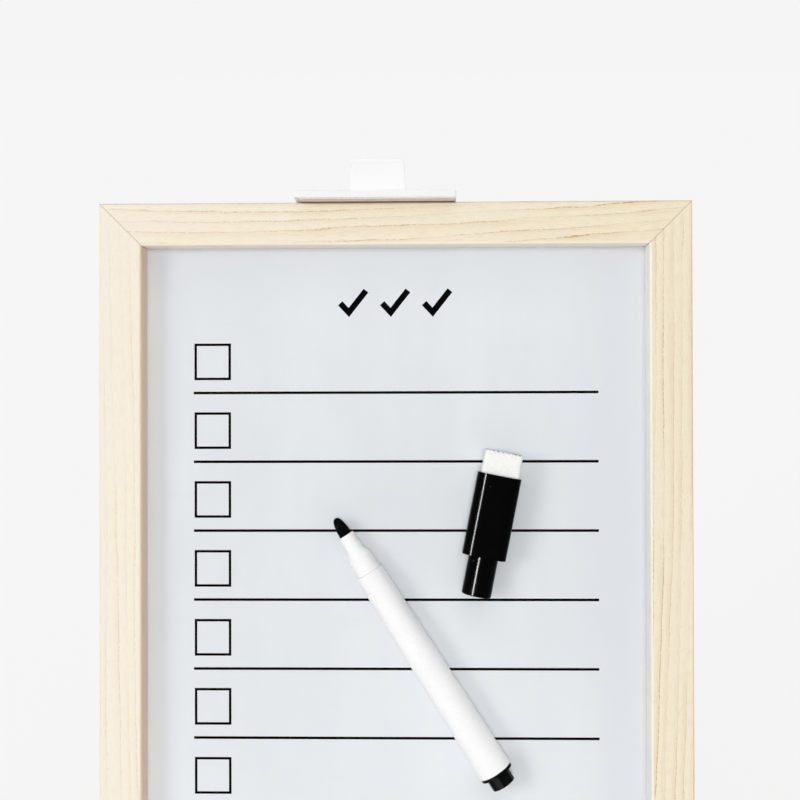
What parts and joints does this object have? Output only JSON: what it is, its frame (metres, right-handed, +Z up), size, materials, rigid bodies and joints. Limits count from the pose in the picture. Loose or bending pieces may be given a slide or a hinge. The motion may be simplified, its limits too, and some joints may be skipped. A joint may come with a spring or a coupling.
{
  "type": "magnetic desk whiteboard easel",
  "caption": "Wood-framed magnetic whiteboard on a folding metal desk easel with a sliding top clamp; a marker and an eraser cap hold to its face.",
  "frame": {"origin": "on the desk, at the middle of the footprint between the front of the base bar and the back of the leg's foot", "axes": "+Z up, the writing face looks towards -Y and leans back towards +Y, +X to the viewer's right"},
  "size_m": [0.222, 0.1874, 0.3366],
  "materials": {
    "frame_wood": "pale fine-grained wood, sanded, clear matt varnish",
    "core": "brown fibreboard",
    "enamel": "satin cool-white writing enamel on thin steel",
    "white_metal": "white powder coat on steel",
    "zinc": "bright zinc plate",
    "brass": "turned brass",
    "magnet": "nickel plate",
    "rubber": "dark matt rubber",
    "clamp_pad": "pale soft elastomer",
    "white_plastic": "fine satin white moulding",
    "marker_white": "smooth white moulding",
    "gloss_black": "polished black moulding",
    "nib": "ink-soaked bonded fibre",
    "felt": "pressed white felt"
  },
  "bodies": {
    "stand": {"rail_top": "frame_wood", "rail_bottom": "frame_wood", "stile_left": "frame_wood", "stile_right": "frame_wood", "corner_nails": "zinc", "steel_face": "enamel", "core_board": "core", "retaining_points": "zinc", "mast": "white_metal", "mast_cap": "white_plastic", "base_bar": "white_metal", "base_pads": "rubber", "ledge": "white_metal", "ledge_rivets": "zinc", "leg_bracket": "white_metal", "bracket_rivets": "zinc", "leg_pin": "zinc"},
    "leg": {"rear_leg": "white_metal", "leg_foot": "rubber"},
    "clamp": {"clamp_plate": "white_metal", "clamp_pad": "clamp_pad", "clamp_block": "white_plastic", "clamp_screws": "zinc"},
    "shoe": {"clamp_shoe": "brass"},
    "knob": {"clamp_stud": "zinc", "clamp_knob": "white_plastic"},
    "marker": {"marker_barrel": "marker_white", "marker_nose": "marker_white", "marker_nib": "nib", "marker_plug": "gloss_black", "marker_reservoir": "felt", "marker_magnet": "magnet"},
    "cap": {"cap_tube": "gloss_black", "cap_seal": "rubber", "cap_sleeve": "gloss_black", "cap_magnet": "magnet", "eraser_felt": "felt"}
  },
  "joints": [
    {"name": "leg_fold", "type": "hinge", "parent": "stand", "child": "leg", "pos_m": [-0.0069, 0.01851, 0.25284], "axis": [-1, 0, 0], "range_deg": [0, 30]},
    {"name": "clamp_slide", "type": "slide", "parent": "stand", "child": "clamp", "axis": [0, 0.309, 0.9511], "range_m": [0, 0.014]},
    {"name": "shoe_feed", "type": "slide", "parent": "clamp", "child": "shoe", "axis": [0, 0.9511, -0.309], "range_m": [0, 0.0008]},
    {"name": "knob_turn", "type": "hinge", "parent": "shoe", "child": "knob", "pos_m": [-0.0069, 0.03093, 0.30884], "axis": [0, 0.9511, -0.309], "range_deg": [0, 360]},
    {"name": "marker_lift", "type": "slide", "parent": "stand", "child": "marker", "axis": [0, -0.9511, 0.309], "range_m": [0, 0.05]},
    {"name": "cap_lift", "type": "slide", "parent": "stand", "child": "cap", "axis": [0, -0.9511, 0.309], "range_m": [0, 0.05]}
  ],
  "couplings": [
    {"joint": "knob_turn", "follows": "shoe_feed", "rad_per_m": 7854}
  ]
}
